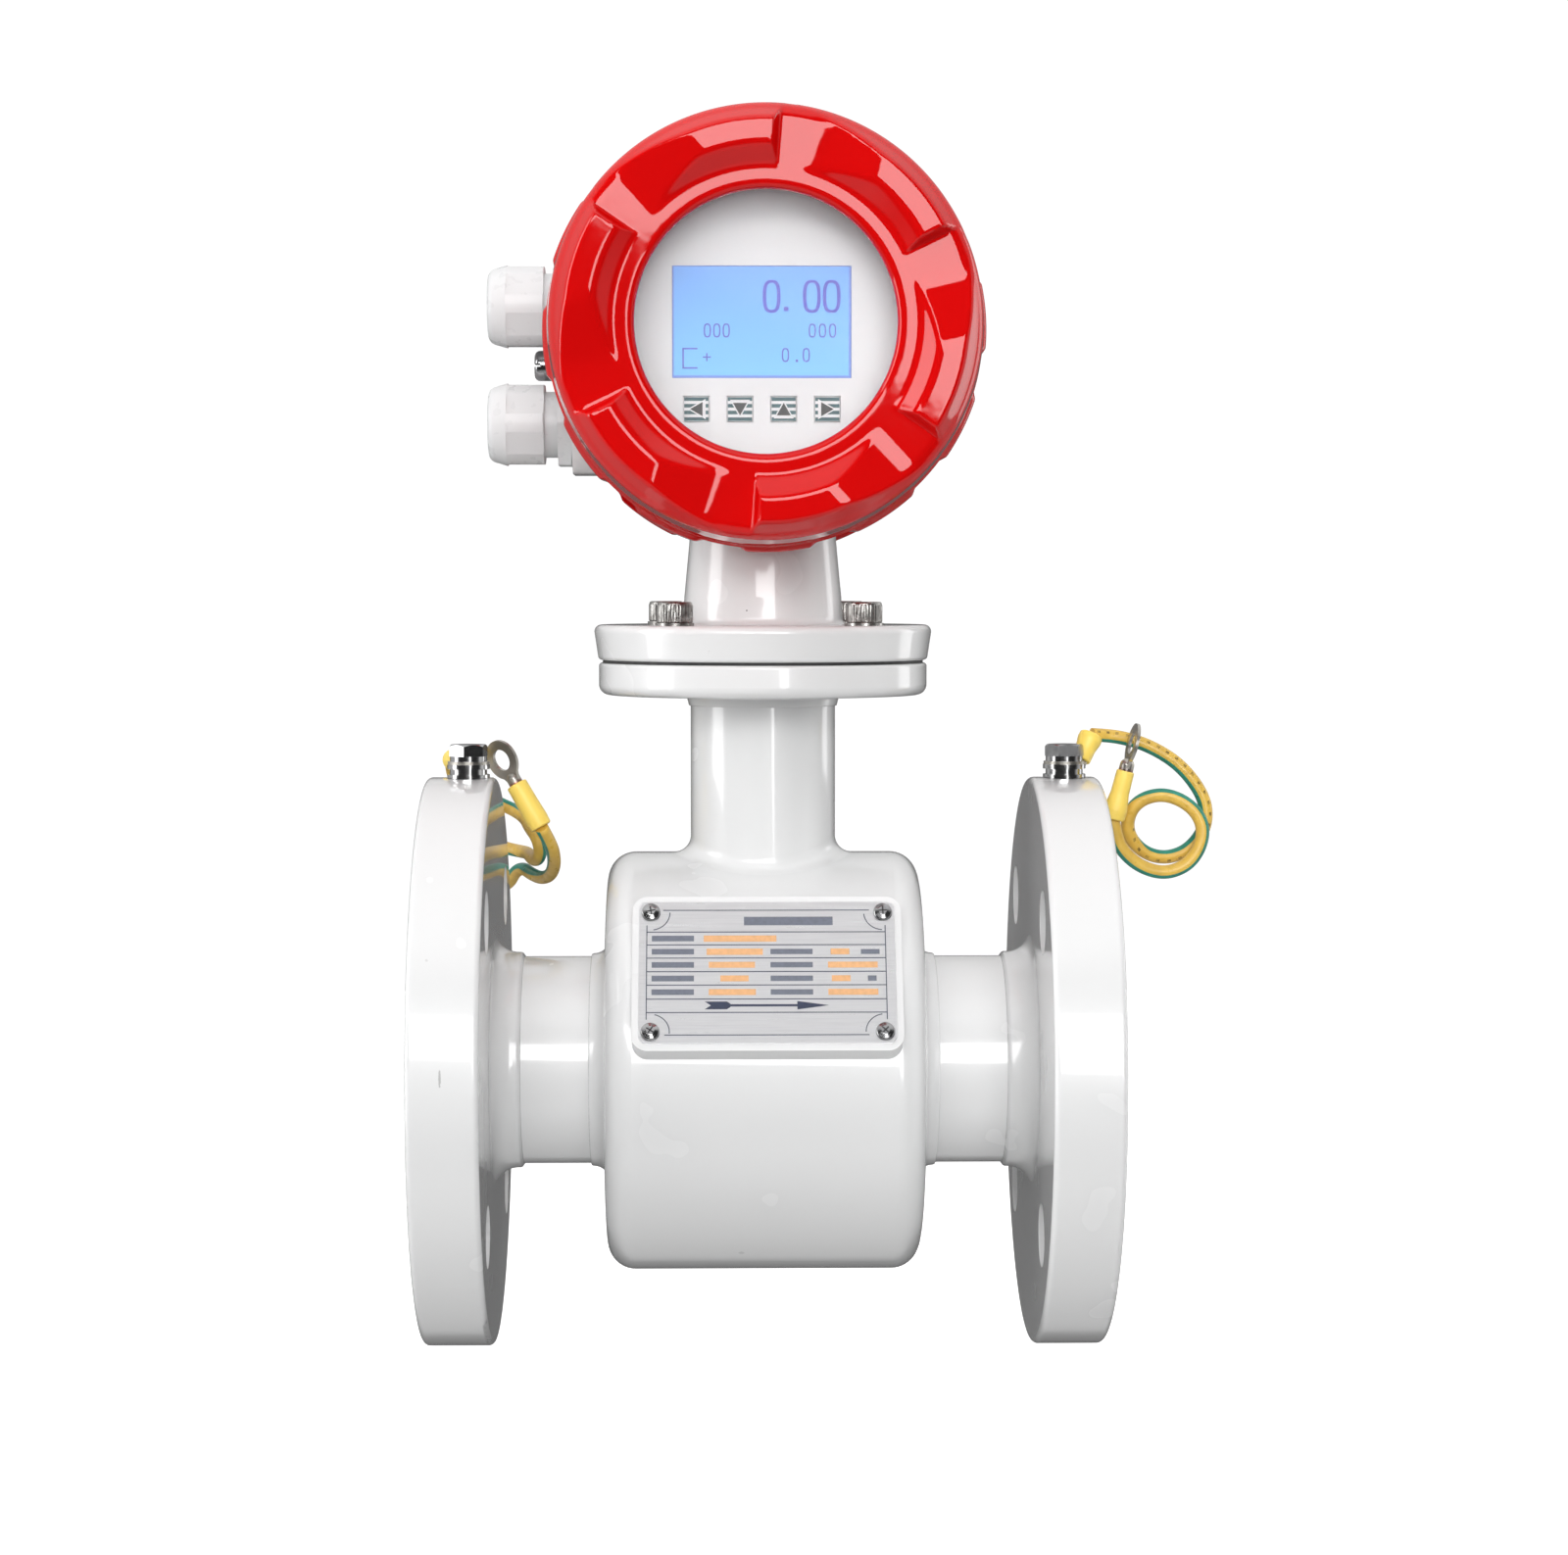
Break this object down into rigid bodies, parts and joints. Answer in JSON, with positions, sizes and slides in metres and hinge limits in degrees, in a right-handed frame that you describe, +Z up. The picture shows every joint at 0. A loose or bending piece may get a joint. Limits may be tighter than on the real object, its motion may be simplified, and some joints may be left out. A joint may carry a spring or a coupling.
{
  "type": "electromagnetic flow meter",
  "caption": "Flanged electromagnetic flow meter: white measuring tube with coil housing, stem and round converter head with red screw covers, window, cable glands and earthing wires.",
  "frame": {"origin": "centre of the measuring tube, on its axis", "axes": "+X is the flow direction, -Y faces the display, +Z is up towards the converter head"},
  "size_m": [0.2324, 0.1735, 0.354],
  "materials": {
    "paint_white": "gloss",
    "paint_red": "gloss",
    "liner_plastic": "satin",
    "bright_steel": "satin",
    "black_rubber": "matt",
    "gland_plastic": "satin",
    "window_clear": "polished",
    "ring_metal": "satin",
    "panel_white": "matt",
    "display_blue": "gloss",
    "key_teal": "matt",
    "dark_plastic": "matt",
    "circuit_board": "satin",
    "post_brass": "satin",
    "nameplate_steel": "brushed",
    "copper": "satin",
    "core_iron": "matt",
    "sleeve_yellow": "satin",
    "wire_yellow_green": "satin",
    "lead_grey": "matt"
  },
  "bodies": {
    "meter": {"board_parts": "dark_plastic", "board_posts": "post_brass", "coil_housing": "paint_white", "converter_housing": "paint_white", "cover_orings": "black_rubber", "display_board": "circuit_board", "display_panel": "panel_white", "electrode_insulators": "liner_plastic", "electrodes": "bright_steel", "excitation_coils": "copper", "fixed_sleeves": "sleeve_yellow", "flange_gasket": "black_rubber", "flange_screw_washers": "bright_steel", "flange_screws": "bright_steel", "flow_liner": "liner_plastic", "gland_bodies": "gland_plastic", "ground_bolts": "bright_steel", "ground_washers": "bright_steel", "housing_ground_screw": "bright_steel", "inlet_fixed_lug": "copper", "inlet_flange": "paint_white", "inlet_free_lug": "copper", "inlet_free_sleeve": "sleeve_yellow", "inlet_ground_wire": "wire_yellow_green", "inlet_liner_face": "liner_plastic", "lcd_frame": "dark_plastic", "lcd_glass": "display_blue", "magnetic_yoke": "core_iron", "main_board": "circuit_board", "measuring_tube": "paint_white", "nameplate": "nameplate_steel", "nameplate_screws": "bright_steel", "nameplate_seat": "paint_white", "outlet_fixed_lug": "copper", "outlet_flange": "paint_white", "outlet_free_lug": "copper", "outlet_free_sleeve": "sleeve_yellow", "outlet_ground_wire": "wire_yellow_green", "outlet_liner_face": "liner_plastic", "pole_cores": "core_iron", "power_board": "circuit_board", "signal_leads": "lead_grey", "stem_flange": "paint_white", "stem_tube": "paint_white", "terminal_block": "dark_plastic", "terminal_screws": "bright_steel"},
    "front_window": {"window_glass": "window_clear", "window_gasket": "black_rubber", "window_ring": "ring_metal"},
    "front_cover": {"front_cover": "paint_red"},
    "rear_seal": {"rear_cover_seal": "black_rubber"},
    "rear_cover": {"rear_cover": "paint_red"},
    "gland_upper_seal": {"gland_upper_seal": "black_rubber"},
    "gland_upper_nut": {"gland_upper_nut": "gland_plastic"},
    "gland_lower_seal": {"gland_lower_seal": "black_rubber"},
    "gland_lower_nut": {"gland_lower_nut": "gland_plastic"},
    "key_left": {"key_left": "key_teal"},
    "key_down": {"key_down": "key_teal"},
    "key_up": {"key_up": "key_teal"},
    "key_right": {"key_right": "key_teal"}
  },
  "joints": [
    {"name": "front_cover_travel", "type": "slide", "parent": "meter", "child": "front_window", "axis": [0, -1, 0], "range_m": [0, 0.00901]},
    {"name": "front_cover_turn", "type": "hinge", "parent": "front_window", "child": "front_cover", "pos_m": [0, -0.05, 0.2095], "axis": [0, -1, 0], "range_deg": [0, 2160]},
    {"name": "rear_cover_travel", "type": "slide", "parent": "meter", "child": "rear_seal", "axis": [0, 1, 0], "range_m": [0, 0.00901]},
    {"name": "rear_cover_turn", "type": "hinge", "parent": "rear_seal", "child": "rear_cover", "pos_m": [0, 0.04, 0.2095], "axis": [0, 1, 0], "range_deg": [0, 2160]},
    {"name": "gland_upper_travel", "type": "slide", "parent": "meter", "child": "gland_upper_seal", "axis": [-1, 0, 0], "range_m": [0, 0.003]},
    {"name": "gland_upper_turn", "type": "hinge", "parent": "gland_upper_seal", "child": "gland_upper_nut", "pos_m": [-0.07, 0.008, 0.2193], "axis": [-1, 0, 0], "range_deg": [0, 720.72]},
    {"name": "gland_lower_travel", "type": "slide", "parent": "meter", "child": "gland_lower_seal", "axis": [-1, 0, 0], "range_m": [0, 0.003]},
    {"name": "gland_lower_turn", "type": "hinge", "parent": "gland_lower_seal", "child": "gland_lower_nut", "pos_m": [-0.07, 0.008, 0.1851], "axis": [-1, 0, 0], "range_deg": [0, 720.72]},
    {"name": "key_left_press", "type": "slide", "parent": "meter", "child": "key_left", "axis": [0, 1, 0], "range_m": [0, 0.0004], "stiffness_N_per_m": 900},
    {"name": "key_down_press", "type": "slide", "parent": "meter", "child": "key_down", "axis": [0, 1, 0], "range_m": [0, 0.0004], "stiffness_N_per_m": 900},
    {"name": "key_up_press", "type": "slide", "parent": "meter", "child": "key_up", "axis": [0, 1, 0], "range_m": [0, 0.0004], "stiffness_N_per_m": 900},
    {"name": "key_right_press", "type": "slide", "parent": "meter", "child": "key_right", "axis": [0, 1, 0], "range_m": [0, 0.0004], "stiffness_N_per_m": 900}
  ],
  "couplings": [
    {"joint": "front_cover_travel", "follows": "front_cover_turn", "m_per_rad": 0.00023873},
    {"joint": "rear_cover_travel", "follows": "rear_cover_turn", "m_per_rad": 0.00023873},
    {"joint": "gland_upper_turn", "follows": "gland_upper_travel", "rad_per_m": 4188.8},
    {"joint": "gland_lower_turn", "follows": "gland_lower_travel", "rad_per_m": 4188.8}
  ]
}
